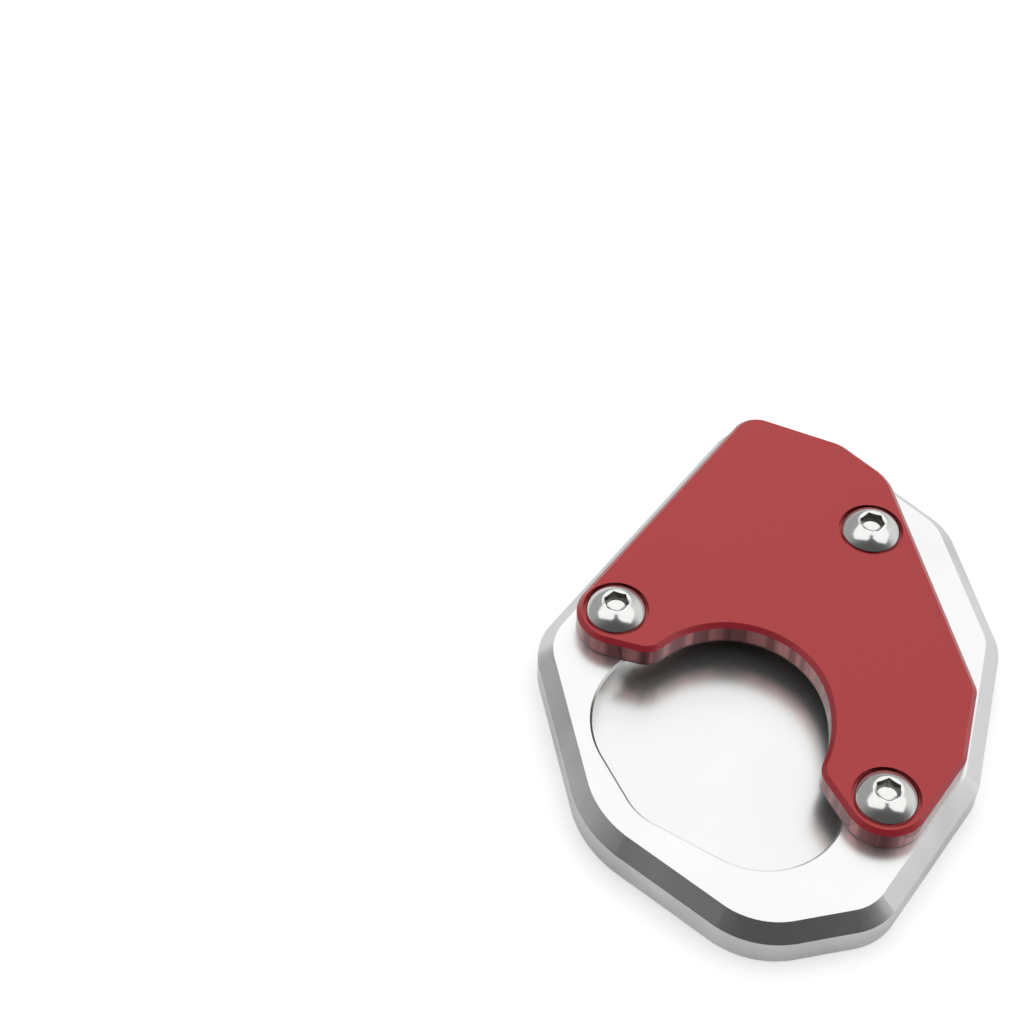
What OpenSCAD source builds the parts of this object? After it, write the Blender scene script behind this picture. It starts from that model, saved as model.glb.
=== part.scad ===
// Kickstand foot enlarger: a milled base plate with a pocket for the foot of a
// motorcycle side stand, a clamp plate that closes over the foot, and three
// button-head cap screws that hold the clamp plate down. Millimetres.
// +X is the right side, +Y points to the narrow end, Z = 0 is the underside.

/* [Base plate] */
// Width over the two long sides
base_w = 81.4; // [78:0.2:86]
// Thickness, underside to top face
base_t = 8; // [7.6:0.1:9]
// Leg of the wide chamfer round the top edge
base_chamfer = 2.7; // [2:0.1:3.2]
// Distance of the bottom wall from the layout centre
toe_reach = 55.9; // [54:0.1:58]
// Direction of the slanting wall at the lower left
left_toe_dir = 218.5; // [214:0.5:222]
// Distance of that wall from the layout centre
left_toe_reach = 49.7; // [49:0.1:51]

/* [Pocket for the stand foot] */
// Depth of the pocket under the top face
pocket_d = 4.5; // [4.2:0.1:4.9]
// Radius of its big corner at the left
pocket_left_r = 16.8; // [16.4:0.1:17.2]
// Radius of its big corner at the front
pocket_front_r = 14; // [13.6:0.1:14.4]
// Break round the rim of the pocket
rim_break = 0.4; // [0.2:0.1:0.6]

/* [Clamp plate] */
// Thickness of the clamp plate
clamp_t = 4.5; // [4.2:0.1:5]
// Chamfer round its top edges
clamp_chamfer = 0.8; // [0.5:0.1:1]
// Step from the clamp wall out to the start of the base chamfer
clamp_inset = 0.6; // [0.4:0.1:0.9]
// Distance of the straight right wall from the layout centre
right_reach = 31.2; // [30.6:0.1:32]
// Direction of the long slanting wall at the upper left
heel_dir = 132; // [130:0.5:134]
// Distance of that wall from the layout centre
heel_reach = 32; // [31.5:0.1:32.5]
// Direction of the wall at the narrow end
tip_dir = 54.5; // [53:0.5:56]
// Distance of that wall from the layout centre
tip_reach = 47.8; // [47.4:0.1:48.2]
// Radius of the corners round the left and the front screw
end_r = 7.2; // [7:0.1:7.4]

/* [Notch for the stand leg] */
// Radius of the round notch
notch_r = 16.8; // [16:0.1:17.4]
// Radius of its flatter arc, from the right side down to the lower horn
sweep_r = 23.2; // [22:0.2:25]
// Radius of the two rounded horns at its ends
horn_r = 4.3; // [4:0.1:4.6]

/* [Screws] */
// Thread diameter
thread_d = 6; // [5.6:0.1:6]
// Length under the head
thread_l = 8; // [7:0.1:8.2]
// Head diameter
head_d = 10.5; // [10:0.1:10.8]
// Head height
head_h = 3.2; // [3:0.1:3.6]
// Height of the upright rim under the dome
head_rim = 1; // [0.8:0.1:1.2]
// Radius of the flat top of the head
flat_r = 2.6; // [2.5:0.1:2.9]
// Hex socket across flats
socket_af = 4; // [3.6:0.1:4.2]
// Depth of the hex socket
socket_d = 2; // [1.6:0.1:2.2]
// Depth of the head seats under the clamp plate's top
seat_d = 1; // [0.8:0.1:1.6]
// Distance of the left screw axis from the slanting wall at the upper left
left_screw_edge = 6.9; // [6.9:0.1:7.2]
// Distance of the other two screw axes from their walls
screw_edge = 7.2; // [7:0.1:7.6]
// Place of the left screw along its wall
left_screw_run = 12.2; // [11.8:0.1:12.6]
// Place of the right screw along its wall
right_screw_run = 19.2; // [18.8:0.1:19.6]
// Place of the front screw along its wall, on the other side of the middle
front_screw_run = 17.9; // [17.5:0.1:18.2]

/* [Hidden] */
$fn = 96;

// clearances, on the radius
head_gap = 0.6;
hole_gap = 0.3;
thread_gap = 0.05;
tap_gap = 0.8;
over = 0.5;
// how far wedges and cones run past what they cut
run_out = 2;
// corner pieces stand this much proud, so that their faces cross those of the walls
lap = 0.01;

function dir(a) = [cos(a), sin(a)];
function bearing(v) = atan2(v[1], v[0]);
// where two walls meet; a wall is a direction and a distance
function meet(a, d, b, e) =
    [d * sin(b) - e * sin(a), e * cos(a) - d * cos(b)] / sin(b - a);
// direction of the straight line that touches circle 1 and then circle 2
function touch(c1, r1, c2, r2) = bearing(c2 - c1) - acos((r1 - r2) / norm(c2 - c1));
// a closed outline is a list of walls [direction, distance, radius to the next wall];
// its corners are arcs [centre, radius, from, to]
function corners(walls) = [
    for (i = [0 : len(walls) - 1])
        let (w = walls[i], n = walls[(i + 1) % len(walls)],
            b = n[0] > w[0] ? n[0] : n[0] + 360)
        [meet(w[0], w[1] - w[2], b, n[1] - w[2]), w[2], w[0], b]];

// walls of the clamp plate that run along the base plate; the front screw is off the first
front_dir = -47.5;
front_reach = 40;
CLAMP_WALLS = [
    [front_dir, front_reach], [-26.5, 36.1], [0, right_reach], [32, 42.9],
    [tip_dir, tip_reach], [heel_dir, heel_reach]];
CLAMP_R = [4.5, 4, 10, 7.5, 5];

// walls of the base plate, at its vertical side
side_x = base_w / 2;
edge = clamp_inset + base_chamfer;
BASE_WALLS = [
    [0, side_x, 12.5],
    [32, CLAMP_WALLS[3][1] + edge, 10.5],
    [tip_dir, tip_reach + edge, 8.5],
    [heel_dir, heel_reach + edge, 12.5],
    [180, side_x, 22.5],
    [left_toe_dir, left_toe_reach, 16.5],
    [270, toe_reach, 11],
    [front_dir + 360, front_reach + edge, 8],
    [333.5, CLAMP_WALLS[1][1] + edge, 10.5]];
base_arcs = corners(BASE_WALLS);

// rim of the pocket
POCKET_WALLS = [
    [110, 11.3, pocket_left_r], [194, 37.3, 11], [226.5, 42.4, pocket_front_r],
    [345, 11.8, 12], [405, 5, 12]];
pocket_arcs = corners(POCKET_WALLS);

// the notch, its flatter arc on the right, which starts level with the centre, and its
// two horns
notch_c = [-11.3, -13.4];
sweep_c = notch_c + (notch_r - sweep_r) * dir(0);
horn_l = notch_c + (notch_r + horn_r) * dir(120);
horn_b = sweep_c + (sweep_r + horn_r) * dir(-37);

// a place off a wall, given as direction, distance and run along the wall
function off_wall(a, d, t) = d * dir(a) + t * dir(a + 90);
end_l = off_wall(heel_dir, heel_reach - end_r, left_screw_run);
end_b = off_wall(front_dir, front_reach - end_r, -front_screw_run);
SCREWS = [
    off_wall(heel_dir, heel_reach - left_screw_edge, left_screw_run),
    off_wall(0, right_reach - screw_edge, right_screw_run),
    off_wall(front_dir, front_reach - screw_edge, -front_screw_run)];
// how far each head is turned
TURNS = [30, 30, 10];

clamp_mid = [
    for (i = [0 : len(CLAMP_R) - 1])
        let (w = CLAMP_WALLS[i], n = CLAMP_WALLS[i + 1], r = CLAMP_R[i])
        [meet(w[0], w[1] - r, n[0], n[1] - r), r, w[0], n[0]]];
to_b = touch(horn_b, horn_r, end_b, end_r);
to_l = touch(end_l, end_r, horn_l, horn_r);
clamp_arcs = concat(
    [[horn_b, horn_r, bearing(sweep_c - horn_b) - 360, to_b],
     [end_b, end_r, to_b, front_dir]],
    clamp_mid,
    [[end_l, end_r, heel_dir, to_l + 360],
     [horn_l, horn_r, to_l + 360, bearing(notch_c - horn_l) + 360]]);

// middle of the base plate along Y, so that the origin is under its centre
tip_top = base_arcs[2][0][1] + base_arcs[2][1];
mid_y = (tip_top - toe_reach) / 2;

seat_z = base_t + clamp_t - seat_d;
thread_end = seat_z - thread_l;

// flat shape inside a run of convex arcs
module outline(arcs) {
    polygon([for (a = arcs) for (t = [a[2], a[3]]) a[0] + a[1] * dir(t)]);
    for (a = arcs)
        translate(a[0]) circle(r = a[1] + lap);
}

// plate with the outline of its child and a chamfer round its top: first a wedge is
// taken off along every wall, then a turned piece off every corner
module plate(arcs, height, leg, closed = true) {
    bevel = [[-leg - over, over], [over, -leg - over], [over, over]];
    difference() {
        difference() {
            linear_extrude(height = height) children();
            for (i = [0 : len(arcs) - (closed ? 1 : 2)]) {
                a = arcs[i];
                b = arcs[(i + 1) % len(arcs)];
                from = a[0] + a[1] * dir(a[3]);
                to = b[0] + b[1] * dir(a[3]) + run_out * dir(a[3] + 90);
                translate([to[0], to[1], height])
                    rotate([90, 0, a[3]])
                        linear_extrude(height = norm(to - from) + run_out) polygon(bevel);
            }
        }
        for (a = arcs)
            translate([a[0][0], a[0][1], height])
                rotate([0, 0, a[2]])
                    rotate_extrude(angle = a[3] - a[2])
                        translate([a[1] + 2 * lap, 0]) polygon(bevel);
    }
}

module base_plate() {
    color([0.78, 0.79, 0.78])
        difference() {
            difference() {
                plate(base_arcs, base_t, base_chamfer) outline(base_arcs);
                translate([0, 0, base_t - pocket_d])
                    linear_extrude(height = pocket_d + over) outline(pocket_arcs);
                for (s = SCREWS)
                    translate([s[0], s[1], thread_end - tap_gap])
                        cylinder(r = thread_d / 2 + thread_gap, h = base_t);
            }
            translate([0, 0, base_t - rim_break]) rim();
        }
}

// what breaks the edge of the pocket: wedges along its walls and cones at its corners
module rim() {
    tall = rim_break + over;
    for (i = [0 : len(pocket_arcs) - 1]) {
        a = pocket_arcs[i];
        b = pocket_arcs[(i + 1) % len(pocket_arcs)];
        from = a[0] + a[1] * dir(a[3]);
        to = b[0] + b[1] * dir(a[3]);
        translate([to[0], to[1], 0])
            rotate([90, 0, a[3]])
                linear_extrude(height = norm(to - from))
                    polygon([[-run_out, -run_out], [tall, tall], [-run_out, tall]]);
    }
    for (a = pocket_arcs)
        translate([a[0][0], a[0][1], -run_out])
            cylinder(r1 = a[1] + 2 * lap - run_out, r2 = a[1] + 2 * lap + tall,
                h = tall + run_out);
}

// cone that takes the edge off the notch
module flare(r) {
    cylinder(r1 = r, r2 = r + clamp_chamfer + over, h = clamp_chamfer + over);
}

module clamp_plate() {
    color([0.66, 0.12, 0.14])
        translate([0, 0, base_t])
            difference() {
                plate(clamp_arcs, clamp_t, clamp_chamfer, false)
                    difference() {
                        outline(clamp_arcs);
                        translate(notch_c) circle(r = notch_r);
                        intersection() {
                            translate(sweep_c) circle(r = sweep_r + lap);
                            translate([notch_c[0], notch_c[1] - notch_r * 2])
                                square(notch_r * 2);
                        }
                    }
                translate([notch_c[0], notch_c[1], clamp_t - clamp_chamfer])
                    flare(notch_r);
                intersection() {
                    translate([sweep_c[0], sweep_c[1], clamp_t - clamp_chamfer])
                        flare(sweep_r + lap);
                    translate([notch_c[0], notch_c[1] - notch_r * 2, 0])
                        cube(notch_r * 2);
                }
                for (s = SCREWS)
                    translate([s[0], s[1], 0]) {
                        translate([0, 0, -over])
                            cylinder(r = thread_d / 2 + hole_gap, h = clamp_t);
                        translate([0, 0, clamp_t - seat_d])
                            cylinder(r = head_d / 2 + head_gap, h = clamp_t);
                    }
            }
}

// button head: an upright rim, a dome and a flat top with a countersunk hex socket
module cap_screw() {
    sink = 0.35;
    drop = (pow(head_d / 2, 2) + head_rim * head_rim - flat_r * flat_r - head_h * head_h)
        / (2 * (head_h - head_rim));
    dome_r = norm([head_d / 2, head_rim + drop]);
    difference() {
        union() {
            intersection() {
                cylinder(r = head_d / 2, h = head_h);
                translate([0, 0, -drop]) sphere(r = dome_r);
            }
            translate([0, 0, -thread_l]) {
                cylinder(r1 = thread_d / 2 - over, r2 = thread_d / 2, h = over);
                translate([0, 0, over]) cylinder(d = thread_d, h = thread_l);
            }
        }
        translate([0, 0, head_h - socket_d])
            cylinder(d = socket_af / cos(30), h = head_h, $fn = 6);
        translate([0, 0, head_h - sink])
            cylinder(r1 = socket_af / 2, r2 = socket_af / 2 + sink + over, h = sink + over);
    }
}

module cap_screws() {
    color([0.7, 0.71, 0.69])
        for (i = [0 : len(SCREWS) - 1])
            translate([SCREWS[i][0], SCREWS[i][1], seat_z])
                rotate([0, 0, TURNS[i]]) cap_screw();
}

translate([0, -mid_y, 0]) {
    base_plate();
    clamp_plate();
    cap_screws();
}
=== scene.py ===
"""Kickstand foot enlarger: milled base plate, red clamp plate and three button-head
screws on a plain pale floor, seen from the front, above and a little to the left."""

import math

import bmesh
import bpy
from bpy.props import FloatProperty, FloatVectorProperty, IntProperty, PointerProperty
from mathutils import Matrix, Vector


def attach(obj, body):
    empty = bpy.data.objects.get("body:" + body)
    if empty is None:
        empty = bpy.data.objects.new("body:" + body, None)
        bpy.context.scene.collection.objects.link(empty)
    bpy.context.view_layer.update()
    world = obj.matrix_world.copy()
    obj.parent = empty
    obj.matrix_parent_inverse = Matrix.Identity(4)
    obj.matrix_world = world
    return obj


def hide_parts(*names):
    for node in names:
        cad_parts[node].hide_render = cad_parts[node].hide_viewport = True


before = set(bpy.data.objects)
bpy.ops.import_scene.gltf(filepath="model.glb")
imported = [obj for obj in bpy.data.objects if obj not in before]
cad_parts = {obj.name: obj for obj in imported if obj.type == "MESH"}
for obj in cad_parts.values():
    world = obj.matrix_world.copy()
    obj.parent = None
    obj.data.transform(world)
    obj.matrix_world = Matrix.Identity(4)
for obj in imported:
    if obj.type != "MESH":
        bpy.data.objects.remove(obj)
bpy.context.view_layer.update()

bl_info = {
    "name": "Kickstand Foot Enlarger",
    "version": (1, 0, 0),
    "blender": (4, 5, 0),
    "location": "View3D > Sidebar > Foot Enlarger",
    "description": "Finishes the plates, models the cap screws and sets up the studio",
    "category": "Object",
}

BODY = "root"
MM = 0.001


# Sizes and colours

def length(name, description, default):
    return FloatProperty(
        name=name, description=description, default=default * MM,
        unit="LENGTH", subtype="DISTANCE", precision=5)


def share(name, description, default):
    return FloatProperty(
        name=name, description=description, default=default, min=0.0, max=1.0,
        subtype="FACTOR")


def colour(name, description, default):
    return FloatVectorProperty(
        name=name, description=description, default=default, size=3,
        min=0.0, max=1.0, subtype="COLOR")


class ScrewSizes(bpy.types.PropertyGroup):
    head_d: length("Head diameter", "Across the round head", 10.5)
    head_h: length("Head height", "Seat to flat top", 3.2)
    rim_h: length("Rim height", "Upright band below the dome", 1.0)
    flat_r: length("Flat radius", "Outer radius of the flat top", 2.6)
    sink_r: length("Countersink radius", "Mouth of the countersink", 2.38)
    socket_af: length("Socket size", "Across the flats of the hex socket", 4.0)
    socket_d: length("Socket depth", "Flat top to the foot of the hex walls", 2.0)
    point_r: length("Point radius", "Drilled point at the foot of the socket", 1.75)
    point_d: length("Point depth", "Depth of the drilled point", 0.9)
    thread_d: length("Thread diameter", "Over the crests", 5.98)
    thread_l: length("Thread length", "Under the head", 8.0)
    pitch: length("Pitch", "From crest to crest", 1.0)
    segments: IntProperty(
        name="Segments", description="Steps round the head, a multiple of 12",
        default=96, min=24)


class MetalFinish(bpy.types.PropertyGroup):
    base_colour: colour(
        "Clear aluminium", "Colour of the base plate", (0.83, 0.84, 0.83))
    clamp_colour: colour(
        "Red anodising", "Colour of the clamp plate", (0.36, 0.005, 0.009))
    # painted reflection and shade: the light and dark bands of the clamp walls stand in
    # for what the glossy walls mirror
    wall_lit_band: colour(
        "Clamp wall", "Light bands of the clamp plate's walls", (0.34, 0.12, 0.12))
    wall_shade_band: colour(
        "Clamp wall shade", "Dark bands of those walls", (0.13, 0.022, 0.028))
    edge_colour: colour(
        "Clamp chamfer", "Colour of the clamp plate's chamfer", (0.42, 0.012, 0.025))
    screw_colour: colour(
        "Stainless steel", "Colour of the screws", (0.78, 0.79, 0.77))
    # painted shade: the hex walls get a dark colour for the shade inside the socket
    socket_shade_colour: colour(
        "Socket shade steel", "Colour of the hex walls", (0.22, 0.22, 0.21))
    base_roughness: share("Base roughness", "Satin of the milled top", 0.27)
    cut_roughness: share("Cut roughness", "Gloss of the chamfer and walls", 0.18)
    pocket_roughness: share("Pocket roughness", "Gloss of the pocket floor", 0.27)
    pocket_matt: share("Pocket matt", "Diffuse share of the pocket floor", 0.06)
    clamp_roughness: share("Clamp roughness", "Satin of the blasted top", 0.36)
    wall_roughness: share("Wall roughness", "Gloss of the milled walls", 0.2)
    screw_roughness: share("Screw roughness", "Polish of the screw heads", 0.14)


class StudioSettings(bpy.types.PropertyGroup):
    floor_size: FloatProperty(
        name="Floor size", description="Side of the square floor", default=12.0,
        unit="LENGTH", subtype="DISTANCE")
    floor_glow: FloatProperty(
        name="Floor glow", description="Lift of the floor to white for the camera",
        default=0.33)
    lens: FloatProperty(
        name="Lens", description="Focal length on a 36 mm sensor", default=74.755)
    tilt: FloatProperty(
        name="Tilt", description="How far the camera looks down", default=0.86774,
        subtype="ANGLE")
    turn: FloatProperty(
        name="Turn", description="How far the camera stands to the left",
        default=0.20719, subtype="ANGLE")
    roll: FloatProperty(
        name="Roll", description="Turn of the camera about its view",
        default=-0.009508, subtype="ANGLE")
    place: FloatVectorProperty(
        name="Place", description="Where the camera stands", size=3,
        default=(-0.09144, -0.20844, 0.30916), subtype="TRANSLATION")
    top_light: FloatProperty(
        name="Top light", description="Radiance of the softbox above", default=1.2)
    rear_light: FloatProperty(
        name="Rear light", description="Radiance added by the strip light behind",
        default=2.0)


# Node trees

def math_node(tree, operation, a, b=None, c=None, clamp=False):
    node = tree.nodes.new("ShaderNodeMath")
    node.operation = operation
    node.use_clamp = clamp
    for socket, value in zip(node.inputs, (a, b, c)):
        if value is None:
            continue
        if isinstance(value, (int, float)):
            socket.default_value = value
        else:
            tree.links.new(value, socket)
    return node.outputs[0]


def product(tree, first, *others):
    for other in others:
        first = math_node(tree, "MULTIPLY", first, other)
    return first


def between(tree, mask, off, on):
    """A value that goes from off to on with the mask."""
    return math_node(tree, "MULTIPLY_ADD", mask, on - off, off)


def ramp_between(tree, value, low, high, to_low=0.0, to_high=1.0):
    """A smooth step that leaves to_low at low and reaches to_high at high."""
    node = tree.nodes.new("ShaderNodeMapRange")
    node.interpolation_type = "SMOOTHSTEP"
    tree.links.new(value, node.inputs["Value"])
    node.inputs["From Min"].default_value = low
    node.inputs["From Max"].default_value = high
    node.inputs["To Min"].default_value = to_low
    node.inputs["To Max"].default_value = to_high
    return node.outputs["Result"]


def dimmed(rgb, share_kept):
    return tuple(c * share_kept for c in rgb)


def mix_colour(tree, factor, a, b):
    """Colour a where the factor is 0 and b where it is 1; each a socket or RGB."""
    node = tree.nodes.new("ShaderNodeMix")
    node.data_type = "RGBA"
    sockets = (node.inputs["Factor"], node.inputs[6], node.inputs[7])
    for socket, value in zip(sockets, (factor, a, b)):
        if isinstance(value, (int, float)):
            socket.default_value = value
        elif isinstance(value, bpy.types.NodeSocket):
            tree.links.new(value, socket)
        else:
            socket.default_value = (*value, 1.0)
    return node.outputs[2]


def new_material(name):
    material = bpy.data.materials.new(name)
    material.use_nodes = True
    tree = material.node_tree
    tree.nodes.clear()
    output = tree.nodes.new("ShaderNodeOutputMaterial")
    shader = tree.nodes.new("ShaderNodeBsdfPrincipled")
    tree.links.new(shader.outputs["BSDF"], output.inputs["Surface"])
    return material, tree, shader


def grain_group():
    """Grain, slow clouding, how far a face looks up and its height, for all metals."""
    name = "metal_grain"
    if name in bpy.data.node_groups:
        return bpy.data.node_groups[name]
    tree = bpy.data.node_groups.new(name, "ShaderNodeTree")
    for label, kind, default in (("Grain Scale", "NodeSocketFloat", 1000.0),
                                 ("Stretch", "NodeSocketVector", (1.0, 1.0, 1.0)),
                                 ("Lay", "NodeSocketVector", (0.0, 0.0, 0.0)),
                                 ("Cloud Scale", "NodeSocketFloat", 40.0)):
        socket = tree.interface.new_socket(label, in_out="INPUT", socket_type=kind)
        socket.default_value = default
    for label in ("Grain", "Cloud", "Up", "Height"):
        tree.interface.new_socket(label, in_out="OUTPUT", socket_type="NodeSocketFloat")
    given = tree.nodes.new("NodeGroupInput").outputs
    result = tree.nodes.new("NodeGroupOutput").inputs
    coords = tree.nodes.new("ShaderNodeTexCoord")
    turned = tree.nodes.new("ShaderNodeMapping")
    tree.links.new(coords.outputs["Object"], turned.inputs["Vector"])
    tree.links.new(given["Lay"], turned.inputs["Rotation"])
    mapping = tree.nodes.new("ShaderNodeMapping")
    tree.links.new(turned.outputs["Vector"], mapping.inputs["Vector"])
    tree.links.new(given["Stretch"], mapping.inputs["Scale"])
    for vector, scale, detail, label in (
            (mapping.outputs["Vector"], "Grain Scale", 2.0, "Grain"),
            (coords.outputs["Object"], "Cloud Scale", 3.0, "Cloud")):
        noise = tree.nodes.new("ShaderNodeTexNoise")
        noise.inputs["Detail"].default_value = detail
        tree.links.new(vector, noise.inputs["Vector"])
        tree.links.new(given[scale], noise.inputs["Scale"])
        tree.links.new(noise.outputs["Fac"], result[label])
    geometry = tree.nodes.new("ShaderNodeNewGeometry")
    normal = tree.nodes.new("ShaderNodeSeparateXYZ")
    tree.links.new(geometry.outputs["True Normal"], normal.inputs[0])
    tree.links.new(normal.outputs["Z"], result["Up"])
    place = tree.nodes.new("ShaderNodeSeparateXYZ")
    tree.links.new(coords.outputs["Object"], place.inputs[0])
    tree.links.new(place.outputs["Z"], result["Height"])
    return tree


def metal_grain(tree, grain_scale, stretch=(1.0, 1.0, 1.0), lay=0.0, cloud_scale=40.0):
    """The shared group with this metal's own values; returns its outputs."""
    node = tree.nodes.new("ShaderNodeGroup")
    node.node_tree = grain_group()
    node.inputs["Grain Scale"].default_value = grain_scale
    node.inputs["Stretch"].default_value = stretch
    node.inputs["Lay"].default_value = (0.0, 0.0, lay)
    node.inputs["Cloud Scale"].default_value = cloud_scale
    return node.outputs


def bump(tree, shader, height, distance):
    node = tree.nodes.new("ShaderNodeBump")
    node.inputs["Distance"].default_value = distance
    tree.links.new(height, node.inputs["Height"])
    tree.links.new(node.outputs["Normal"], shader.inputs["Normal"])


def grain_roughness(tree, metal, middle, spread):
    return between(tree, metal["Grain"], middle - spread / 2, middle + spread / 2)


# Materials

# How far up a face looks, 1 being level, where one kind of face passes into another
BASE_FLAT = (0.8, 0.95)
CLAMP_CHAMFER = (0.95, 0.85)
CLAMP_WALL = (0.35, 0.2)
# Heights of the step from pocket floor to base top, and of the painted shade at the clamp
# walls' foot
BASE_TOP = (5.5 * MM, 6.5 * MM)
CLAMP_FOOT_SHADE = (8.1 * MM, 8.7 * MM)
# Parts of the noise that give the clouds on the base and the painted reflection and shade
# bands on the clamp walls
CLOUDS = (0.38, 0.62)
REFLECTION_BANDS = (0.42, 0.6)
# Clear coat of the anodising and metal look, on the top and on the walls or chamfer
COAT_TOP, COAT_WALL = 0.75, 0.25
COAT_ROUGHNESS, COAT_IOR = 0.22, 1.6
METAL_TOP, METAL_CHAMFER = 0.8, 0.3
# Share of the colour that stays in the darker places: painted shade on the base plate's
# chamfer and walls and at the clamp walls' foot, random tone elsewhere
CUT_SHADE_DIM, FLAT_DIM = 0.84, 0.97
CLAMP_DIM, FOOT_SHADE_DIM = 0.93, 0.4
STEEL_DIM, SOCKET_DIM = 0.95, 0.6
SOCKET_ROUGHNESS = 0.35


def base_material(finish):
    """Milled aluminium: satin top and pocket floor, glossier chamfer and walls, which
    carry painted shade in slow clouds.
    """
    material, tree, shader = new_material("clear_aluminium")
    metal = metal_grain(
        tree, grain_scale=900.0, stretch=(1.0, 0.03, 0.3), lay=0.35, cloud_scale=45.0)
    flat = ramp_between(tree, metal["Up"], *BASE_FLAT)
    high = ramp_between(tree, metal["Height"], *BASE_TOP)
    # painted shade: the chamfer and walls are darker than the flats, in slow clouds; the
    # flats hardly any
    cloud = ramp_between(tree, metal["Cloud"], *CLOUDS)
    shade = mix_colour(
        tree, flat, dimmed(finish.base_colour, CUT_SHADE_DIM),
        dimmed(finish.base_colour, FLAT_DIM))
    tone = mix_colour(tree, cloud, shade, finish.base_colour)
    tree.links.new(tone, shader.inputs["Base Color"])
    # level and low faces are the pocket floor
    floor = math_node(tree, "SUBTRACT", flat, high, clamp=True)
    metallic = between(tree, floor, off=1.0, on=1.0 - finish.pocket_matt)
    tree.links.new(metallic, shader.inputs["Metallic"])
    flat_extra = between(
        tree, high, off=finish.pocket_roughness - finish.cut_roughness,
        on=finish.base_roughness - finish.cut_roughness)
    rough = math_node(tree, "MULTIPLY_ADD", flat, flat_extra, finish.cut_roughness)
    grain_extra = 0.03
    rough = math_node(tree, "MULTIPLY_ADD", metal["Grain"], grain_extra, rough)
    tree.links.new(rough, shader.inputs["Roughness"])
    bump(tree, shader, metal["Grain"], distance=0.0004 * MM)
    return material


def clamp_material(finish):
    """Red anodising: satin on top, glossier and greyer on the milled walls, which carry
    painted bands of reflection and shade and painted shade at their foot.
    """
    material, tree, shader = new_material("red_anodised")
    metal = metal_grain(tree, grain_scale=2600.0)
    # painted bands of reflection and shade run up the walls, so their pattern has no
    # change along Z
    bands = metal_grain(tree, grain_scale=330.0, stretch=(1.0, 1.0, 0.0))["Grain"]
    bands = ramp_between(tree, bands, *REFLECTION_BANDS)
    wall = ramp_between(tree, metal["Up"], *CLAMP_WALL)
    cut = ramp_between(tree, metal["Up"], *CLAMP_CHAMFER)
    above_foot_shade = ramp_between(tree, metal["Height"], *CLAMP_FOOT_SHADE)
    coat = between(tree, wall, off=COAT_TOP, on=COAT_WALL)
    tree.links.new(coat, shader.inputs["Coat Weight"])
    shader.inputs["Coat Roughness"].default_value = COAT_ROUGHNESS
    shader.inputs["Coat IOR"].default_value = COAT_IOR
    tone = mix_colour(
        tree, metal["Cloud"], dimmed(finish.clamp_colour, CLAMP_DIM),
        finish.clamp_colour)
    side = mix_colour(tree, bands, finish.wall_shade_band, finish.wall_lit_band)
    # painted shade: the clamp walls darken towards their foot, where they meet the base
    # plate
    side = mix_colour(tree, above_foot_shade, dimmed(finish.wall_shade_band, FOOT_SHADE_DIM), side)
    tone = mix_colour(tree, cut, tone, finish.edge_colour)
    tone = mix_colour(tree, wall, tone, side)
    tree.links.new(tone, shader.inputs["Base Color"])
    chamfer = math_node(tree, "SUBTRACT", cut, wall)
    metallic = between(tree, chamfer, off=METAL_TOP, on=METAL_CHAMFER)
    tree.links.new(metallic, shader.inputs["Metallic"])
    rough = grain_roughness(tree, metal, middle=finish.clamp_roughness, spread=0.08)
    rough = math_node(
        tree, "MULTIPLY_ADD", wall, finish.wall_roughness - finish.clamp_roughness, rough)
    tree.links.new(rough, shader.inputs["Roughness"])
    bump(tree, shader, metal["Grain"], distance=0.0015 * MM)
    return material


def screw_material(finish):
    """Turned and polished stainless steel."""
    material, tree, shader = new_material("stainless_steel")
    metal = metal_grain(tree, grain_scale=1500.0)
    shader.inputs["Metallic"].default_value = 1.0
    tone = mix_colour(
        tree, metal["Grain"], dimmed(finish.screw_colour, STEEL_DIM),
        finish.screw_colour)
    tree.links.new(tone, shader.inputs["Base Color"])
    rough = grain_roughness(tree, metal, middle=finish.screw_roughness, spread=0.06)
    tree.links.new(rough, shader.inputs["Roughness"])
    bump(tree, shader, metal["Grain"], distance=0.0008 * MM)
    return material


def socket_material(finish):
    """Steel of the hex walls, duller from broaching, its colour painted dark as the shade
    inside the socket.
    """
    material, tree, shader = new_material("socket_painted_shade")
    metal = metal_grain(tree, grain_scale=1800.0, stretch=(1.0, 1.0, 0.15))
    shader.inputs["Metallic"].default_value = 1.0
    tone = mix_colour(
        tree, metal["Grain"], dimmed(finish.socket_shade_colour, SOCKET_DIM),
        finish.socket_shade_colour)
    tree.links.new(tone, shader.inputs["Base Color"])
    rough = grain_roughness(tree, metal, middle=SOCKET_ROUGHNESS, spread=0.1)
    tree.links.new(rough, shader.inputs["Roughness"])
    bump(tree, shader, metal["Grain"], distance=0.003 * MM)
    return material


def dress(node_name, material):
    """Give a CAD node one material in every slot."""
    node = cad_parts[node_name]
    if not node.material_slots:
        node.data.materials.append(material)
    for slot in node.material_slots:
        slot.material = material


# Cap screws

# Name of each screw from left to right, and the turn of its hex socket in degrees
SCREWS = (("cap_screw_left", 30.0), ("cap_screw_front", 10.0), ("cap_screw_right", 30.0))
# Head: how far its seat reaches in past the thread, its rounded foot, the dome's lip
SEAT_IN = 0.3 * MM
ROUND = 0.2 * MM
ROUND_MIDDLE = (0.06 * MM, 0.05 * MM)
LIP = 0.08 * MM
DOME_STEPS = 18
# Socket: least width of the countersink, and its slope
SINK_LEAST = 0.02 * MM
SINK_SLOPE = 0.35
# Thread: depth as a share of the pitch, and how far the tip's edge lies inside the root
THREAD_DEPTH = 0.61
TIP_IN = 0.1 * MM
# Hex walls have a normal that rises less than this; edges past the angle are sharp
UPRIGHT = 0.3
SHARP_ANGLE = math.radians(22)


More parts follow.
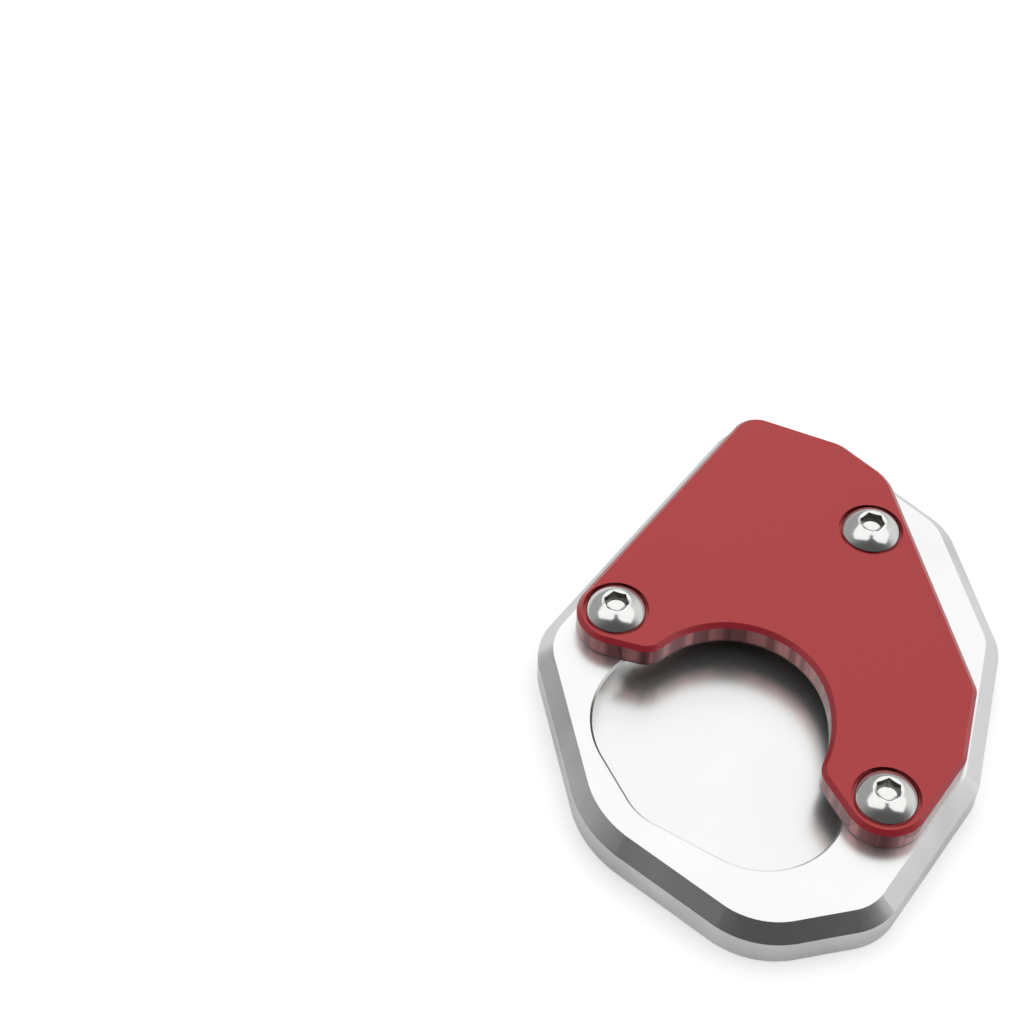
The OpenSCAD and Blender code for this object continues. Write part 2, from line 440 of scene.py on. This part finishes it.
def screw_places():
    """Axis and top of each screw in the CAD node, from left to right."""
    mesh = bmesh.new()
    mesh.from_mesh(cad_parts["cap_screws"].data)
    bmesh.ops.remove_doubles(mesh, verts=mesh.verts, dist=1e-6)
    left = set(mesh.verts)
    places = []
    while left:
        todo = [left.pop()]
        island = []
        while todo:
            vert = todo.pop()
            island.append(vert.co.copy())
            for edge in vert.link_edges:
                other = edge.other_vert(vert)
                if other in left:
                    left.remove(other)
                    todo.append(other)
        low = Vector(map(min, *island))
        high = Vector(map(max, *island))
        places.append(Vector(((low.x + high.x) / 2, (low.y + high.y) / 2, high.z)))
    mesh.free()
    if len(places) != len(SCREWS):
        raise RuntimeError("the CAD node cap_screws should hold three screws")
    return sorted(places, key=lambda place: place.x)


def chain(mesh, points):
    """Vertices at (radius, height) joined by edges, ready to be spun."""
    verts = [mesh.verts.new((r, 0.0, z)) for r, z in points]
    return verts + [mesh.edges.new(pair) for pair in zip(verts, verts[1:])]


def ring_at(mesh, radius, height, slack=1e-6):
    """Edges of the open ring at that radius and height."""
    def on_ring(vert):
        return (abs(vert.co.xy.length - radius) < slack
                and abs(vert.co.z - height) < slack)
    return [e for e in mesh.edges if e.is_boundary and all(map(on_ring, e.verts))]


def extrude_ring(mesh, ring):
    made = bmesh.ops.extrude_edge_only(mesh, edges=ring)["geom"]
    return ([g for g in made if isinstance(g, bmesh.types.BMVert)],
            [g for g in made if isinstance(g, bmesh.types.BMEdge)
             and g.is_boundary])


def spin_head(mesh, s):
    """Head as one outline spun about Z: seat, rim, round dome and flat top."""
    head_r = s.head_d / 2
    drop = ((head_r ** 2 + s.rim_h ** 2 - s.flat_r ** 2 - s.head_h ** 2)
            / (2 * (s.head_h - s.rim_h)))
    dome_r = math.hypot(head_r, s.rim_h + drop)
    round_in, round_up = ROUND_MIDDLE
    points = [(s.thread_d / 2 - SEAT_IN, 0.0), (head_r - ROUND, 0.0),
              (head_r - round_in, round_up), (head_r, ROUND)]
    foot = math.asin(head_r / dome_r)
    crown = math.asin(s.flat_r / dome_r)
    for i in range(DOME_STEPS + 1):
        a = foot + (crown - foot) * i / DOME_STEPS
        points.append((dome_r * math.sin(a), dome_r * math.cos(a) - drop))
    points += [(s.flat_r - LIP, s.head_h), (s.sink_r, s.head_h)]
    bmesh.ops.spin(
        mesh, geom=chain(mesh, points), cent=(0, 0, 0), axis=(0, 0, 1),
        dvec=(0, 0, 0), angle=math.tau, steps=s.segments, use_merge=True,
        use_normal_flip=False, use_duplicate=False)
    bmesh.ops.remove_doubles(mesh, verts=mesh.verts, dist=1e-7)


def cut_socket(mesh, s):
    """Countersink, hex walls and drilled point, each extruded from the ring above."""
    flat = s.socket_af / 2
    verts, ring = extrude_ring(mesh, ring_at(mesh, s.sink_r, s.head_h))
    for v in verts:
        angle = math.atan2(v.co.y, v.co.x)
        off = (angle + math.pi / 6) % (math.pi / 3) - math.pi / 6
        reach = min(flat / math.cos(math.pi / 6 - abs(off)), s.sink_r - SINK_LEAST)
        v.co = (reach * math.cos(angle), reach * math.sin(angle),
                s.head_h - (s.sink_r - reach) * SINK_SLOPE)
    verts, ring = extrude_ring(mesh, ring)
    for v in verts:
        v.co.z = s.head_h - s.socket_d
    verts, ring = extrude_ring(mesh, ring)
    for v in verts:
        v.co = v.co.xy.normalized().to_3d() * s.point_r
        v.co.z = s.head_h - s.socket_d
    verts, _ = extrude_ring(mesh, ring)
    bmesh.ops.pointmerge(
        mesh, verts=verts, merge_co=(0, 0, s.head_h - s.socket_d - s.point_d))


def wind_thread(mesh, s):
    """Thread as one profile spun along a helix, trimmed flat at both ends."""
    crest = s.thread_d / 2
    root = crest - THREAD_DEPTH * s.pitch
    eighth = s.pitch / 8
    turns = int(s.thread_l / s.pitch) + 2
    steps = s.segments // 2
    # root, rising flank, narrow crest and falling flank
    profile = [(root, 0.0), (root, eighth * 1.6), (crest, eighth * 4.3),
               (crest, eighth * 5.3), (root, eighth * 8)]
    start = -s.thread_l - s.pitch
    thread = bmesh.new()
    bmesh.ops.spin(
        thread, geom=chain(thread, [(r, z + start) for r, z in profile]),
        cent=(0, 0, 0), axis=(0, 0, 1), dvec=(0, 0, s.pitch / steps),
        angle=math.tau * turns, steps=steps * turns, use_merge=False,
        use_normal_flip=False, use_duplicate=False)
    bmesh.ops.remove_doubles(thread, verts=thread.verts, dist=1e-6)
    for height, side in ((-s.thread_l, -1), (0.0, 1)):
        cut = bmesh.ops.bisect_plane(
            thread, geom=thread.verts[:] + thread.edges[:] + thread.faces[:],
            dist=1e-7, plane_co=(0, 0, height), plane_no=(0, 0, side),
            clear_outer=True, clear_inner=False)
        edges = [g for g in cut["geom_cut"] if isinstance(g, bmesh.types.BMEdge)]
        bmesh.ops.holes_fill(thread, edges=edges, sides=0)
    tip = -s.thread_l
    for v in thread.verts:
        limit = root - TIP_IN + (v.co.z - tip)
        reach = v.co.xy.length
        if reach > limit > 0:
            v.co.xy *= limit / reach
    data = bpy.data.meshes.new("thread")
    thread.to_mesh(data)
    thread.free()
    mesh.from_mesh(data)
    bpy.data.meshes.remove(data)


def mark_socket(mesh, s):
    """Give the hex walls the second material, the one painted dark as shade."""
    foot = s.head_h - s.socket_d
    for face in mesh.faces:
        middle = face.calc_center_median()
        upright = abs(face.normal.z) < UPRIGHT
        if upright and middle.z > foot and middle.xy.length < s.sink_r:
            face.material_index = 1


def make_screw(name, place, turn, s, steel, socket_shade):
    """One screw on the axis of place, its flat top at the height of place."""
    mesh = bmesh.new()
    spin_head(mesh, s)
    cut_socket(mesh, s)
    wind_thread(mesh, s)
    bmesh.ops.holes_fill(
        mesh, edges=[e for e in mesh.edges if e.is_boundary], sides=0)
    bmesh.ops.recalc_face_normals(mesh, faces=mesh.faces)
    mark_socket(mesh, s)
    seat = place.z - s.head_h
    bmesh.ops.transform(
        mesh, verts=mesh.verts,
        matrix=Matrix.Translation((place.x, place.y, seat))
        @ Matrix.Rotation(math.radians(turn), 4, "Z"))
    for face in mesh.faces:
        face.smooth = True
    data = bpy.data.meshes.new(name)
    mesh.to_mesh(data)
    mesh.free()
    data.set_sharp_from_angle(angle=SHARP_ANGLE)
    data.materials.append(steel)
    data.materials.append(socket_shade)
    piece = bpy.data.objects.new(name, data)
    bpy.context.scene.collection.objects.link(piece)
    return piece


# Studio

WHITE = (1.0, 1.0, 1.0, 1.0)
PAPER = (0.92, 0.92, 0.92, 1.0)
# Lights are drawn on a ceiling one unit up. Each pair is where an edge starts and
# where it is full, across to the right or along to the back
LOWEST = 0.02
BOX_FRONT, BOX_REAR = (-0.82, -0.66), (2.5, 1.6)
BOX_LEFT, BOX_RIGHT = (-1.7, -1.35), (1.9, 1.5)
FRONT_SLANT = 0.19
TAPER, TAPER_START = 1.6, 0.1
STAND_SIDE, STAND_REAR = (0.14, 0.06), (-0.25, -0.36)
STAND_FOOT, STAND_SPREAD = -0.52, 1.2
STRIP_FRONT, STRIP_REAR, STRIP_SIDE = (1.05, 1.25), (1.75, 1.55), (0.8, 0.6)
# Walls go by the direction itself, and their light from the first level to the second
ROOM_DEPTH, ROOM_LIGHT = (-0.82, 0.2), (0.1, 0.41)
SIDE_REACH, SIDE_LIGHT, SIDE_DEPTH = (0.3, 0.85), (0.0, 0.42), (-0.5, 0.0)


def floor_material(look):
    """White paper that glows a little, but only for the camera."""
    material = bpy.data.materials.new("studio_floor")
    material.use_nodes = True
    tree = material.node_tree
    tree.nodes.clear()
    output = tree.nodes.new("ShaderNodeOutputMaterial")
    paper = tree.nodes.new("ShaderNodeBsdfDiffuse")
    paper.inputs["Color"].default_value = PAPER
    glow = tree.nodes.new("ShaderNodeEmission")
    ray = tree.nodes.new("ShaderNodeLightPath")
    seen = math_node(tree, "MULTIPLY", ray.outputs["Is Camera Ray"], look.floor_glow)
    tree.links.new(seen, glow.inputs["Strength"])
    both = tree.nodes.new("ShaderNodeAddShader")
    tree.links.new(paper.outputs[0], both.inputs[0])
    tree.links.new(glow.outputs[0], both.inputs[1])
    tree.links.new(both.outputs[0], output.inputs["Surface"])
    return material


def studio_world(look):
    """A big softbox above, a strip light behind, grey walls and a dark front."""
    world = bpy.data.worlds.new("studio")
    world.use_nodes = True
    tree = world.node_tree
    tree.nodes.clear()
    output = tree.nodes.new("ShaderNodeOutputWorld")
    back = tree.nodes.new("ShaderNodeBackground")
    back.inputs["Color"].default_value = WHITE
    coords = tree.nodes.new("ShaderNodeTexCoord")
    turn = tree.nodes.new("ShaderNodeMapping")
    turn.inputs["Rotation"].default_value = (0.0, 0.0, look.turn)
    tree.links.new(coords.outputs["Generated"], turn.inputs["Vector"])
    axes = tree.nodes.new("ShaderNodeSeparateXYZ")
    tree.links.new(turn.outputs["Vector"], axes.inputs[0])
    x, y, z = axes.outputs
    # where the direction meets a ceiling one unit up
    height = math_node(tree, "MAXIMUM", z, LOWEST)
    across = math_node(tree, "DIVIDE", x, height)
    along = math_node(tree, "DIVIDE", y, height)
    off_middle = math_node(tree, "ABSOLUTE", across)
    behind = math_node(
        tree, "MAXIMUM", math_node(tree, "SUBTRACT", along, TAPER_START), 0.0)
    # the softbox: its front edge slants, and it narrows to the back
    front_line = math_node(tree, "MULTIPLY_ADD", across, FRONT_SLANT, along)
    left_line = math_node(tree, "MULTIPLY_ADD", behind, -TAPER, across)
    right_line = math_node(tree, "MULTIPLY_ADD", behind, TAPER, across)
    # the camera on its stand takes a dark bite out of the front edge, wider at its foot
    foot = math_node(
        tree, "MAXIMUM", math_node(tree, "SUBTRACT", STAND_FOOT, along), 0.0)
    beside = math_node(tree, "MULTIPLY_ADD", foot, -STAND_SPREAD, off_middle)
    stand = product(
        tree, ramp_between(tree, beside, *STAND_SIDE),
        ramp_between(tree, along, *STAND_REAR))
    box = product(
        tree, ramp_between(tree, front_line, *BOX_FRONT),
        ramp_between(tree, along, *BOX_REAR),
        ramp_between(tree, left_line, *BOX_LEFT),
        ramp_between(tree, right_line, *BOX_RIGHT),
        math_node(tree, "SUBTRACT", 1.0, stand))
    # the strip light behind brightens the pocket floor up to the clamp plate's reflection
    strip = product(
        tree, ramp_between(tree, along, *STRIP_FRONT),
        ramp_between(tree, along, *STRIP_REAR),
        ramp_between(tree, off_middle, *STRIP_SIDE))
    # walls: grey all round, darker in front and brighter at the right
    side = product(
        tree, ramp_between(tree, x, *SIDE_REACH, *SIDE_LIGHT),
        ramp_between(tree, y, *SIDE_DEPTH))
    room = math_node(
        tree, "ADD", ramp_between(tree, y, *ROOM_DEPTH, *ROOM_LIGHT), side)
    light = math_node(tree, "SUBTRACT", look.top_light, room)
    light = math_node(tree, "MULTIPLY_ADD", box, light, room)
    light = math_node(tree, "MULTIPLY_ADD", strip, look.rear_light, light)
    # the camera itself sees plain white
    ray = tree.nodes.new("ShaderNodeLightPath")
    picture = tree.nodes.new("ShaderNodeMix")
    picture.data_type = "FLOAT"
    tree.links.new(ray.outputs["Is Camera Ray"], picture.inputs[0])
    tree.links.new(light, picture.inputs[2])
    picture.inputs[3].default_value = 1.0
    tree.links.new(picture.outputs[0], back.inputs["Strength"])
    tree.links.new(back.outputs[0], output.inputs["Surface"])
    return world


def make_camera(look):
    data = bpy.data.cameras.new("camera")
    data.sensor_width = 36.0
    data.lens = look.lens
    data.clip_start = 0.01
    data.clip_end = 50.0
    tilt, turn, roll = look.tilt, look.turn, look.roll
    right = Vector((math.cos(turn), -math.sin(turn), 0.0))
    view = Vector((math.cos(tilt) * math.sin(turn), math.cos(tilt) * math.cos(turn),
                   -math.sin(tilt)))
    down = view.cross(right)
    x_axis = right * math.cos(roll) + down * math.sin(roll)
    y_axis = right * math.sin(roll) - down * math.cos(roll)
    camera = bpy.data.objects.new("camera", data)
    axes = Matrix((x_axis, y_axis, -view)).transposed()
    camera.matrix_world = Matrix.Translation(look.place) @ axes.to_4x4()
    bpy.context.scene.collection.objects.link(camera)
    bpy.context.scene.camera = camera


# Operators and panel

class OBJECT_OT_foot_base(bpy.types.Operator):
    """Finish the base plate as milled clear aluminium"""
    bl_idname = "foot_enlarger.base_plate"
    bl_label = "Base plate"

    def execute(self, context):
        dress("base_plate", base_material(context.scene.foot_finish))
        return {"FINISHED"}


class OBJECT_OT_foot_clamp(bpy.types.Operator):
    """Finish the clamp plate as red anodised aluminium"""
    bl_idname = "foot_enlarger.clamp_plate"
    bl_label = "Clamp plate"

    def execute(self, context):
        dress("clamp_plate", clamp_material(context.scene.foot_finish))
        return {"FINISHED"}


class OBJECT_OT_foot_screws(bpy.types.Operator):
    """Model the three button-head cap screws in their seats"""
    bl_idname = "foot_enlarger.cap_screws"
    bl_label = "Cap screws"

    def execute(self, context):
        steel = screw_material(context.scene.foot_finish)
        socket_shade = socket_material(context.scene.foot_finish)
        sizes = context.scene.foot_screws
        for (name, turn), place in zip(SCREWS, screw_places()):
            piece = make_screw(name, place, turn, sizes, steel, socket_shade)
            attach(piece, BODY)
            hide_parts("cap_screws")
        return {"FINISHED"}


class OBJECT_OT_foot_studio(bpy.types.Operator):
    """Lay the floor, light the studio and place the camera"""
    bl_idname = "foot_enlarger.studio"
    bl_label = "Studio"

    def execute(self, context):
        look = context.scene.foot_studio
        mesh = bmesh.new()
        bmesh.ops.create_grid(
            mesh, x_segments=1, y_segments=1, size=look.floor_size / 2)
        data = bpy.data.meshes.new("studio_floor")
        mesh.to_mesh(data)
        mesh.free()
        data.materials.append(floor_material(look))
        floor = bpy.data.objects.new("studio_floor", data)
        context.scene.collection.objects.link(floor)
        context.scene.world = studio_world(look)
        make_camera(look)
        context.scene.view_settings.view_transform = "Standard"
        return {"FINISHED"}


OPERATORS = (OBJECT_OT_foot_base, OBJECT_OT_foot_clamp, OBJECT_OT_foot_screws,
             OBJECT_OT_foot_studio)


class VIEW3D_PT_foot_enlarger(bpy.types.Panel):
    """Lists the steps that build the foot enlarger"""
    bl_idname = "VIEW3D_PT_foot_enlarger"
    bl_label = "Foot Enlarger"
    bl_space_type = "VIEW_3D"
    bl_region_type = "UI"
    bl_category = "Foot Enlarger"

    def draw(self, context):
        for settings in GROUPS:
            box = self.layout.box()
            group = getattr(context.scene, settings)
            for key in group.bl_rna.properties.keys():
                if key not in {"rna_type", "name"}:
                    box.prop(group, key)
        for operator in OPERATORS:
            self.layout.operator(operator.bl_idname)


GROUPS = {
    "foot_screws": ScrewSizes,
    "foot_finish": MetalFinish,
    "foot_studio": StudioSettings,
}
CLASSES = (*GROUPS.values(), *OPERATORS, VIEW3D_PT_foot_enlarger)


def register():
    for cls in CLASSES:
        bpy.utils.register_class(cls)
    for name, group in GROUPS.items():
        setattr(bpy.types.Scene, name, PointerProperty(type=group))


def unregister():
    for name in GROUPS:
        delattr(bpy.types.Scene, name)
    for cls in reversed(CLASSES):
        bpy.utils.unregister_class(cls)


def main():
    register()
    bpy.ops.foot_enlarger.base_plate()
    bpy.ops.foot_enlarger.clamp_plate()
    bpy.ops.foot_enlarger.cap_screws()
    bpy.ops.foot_enlarger.studio()


if __name__ == "__main__":
    main()
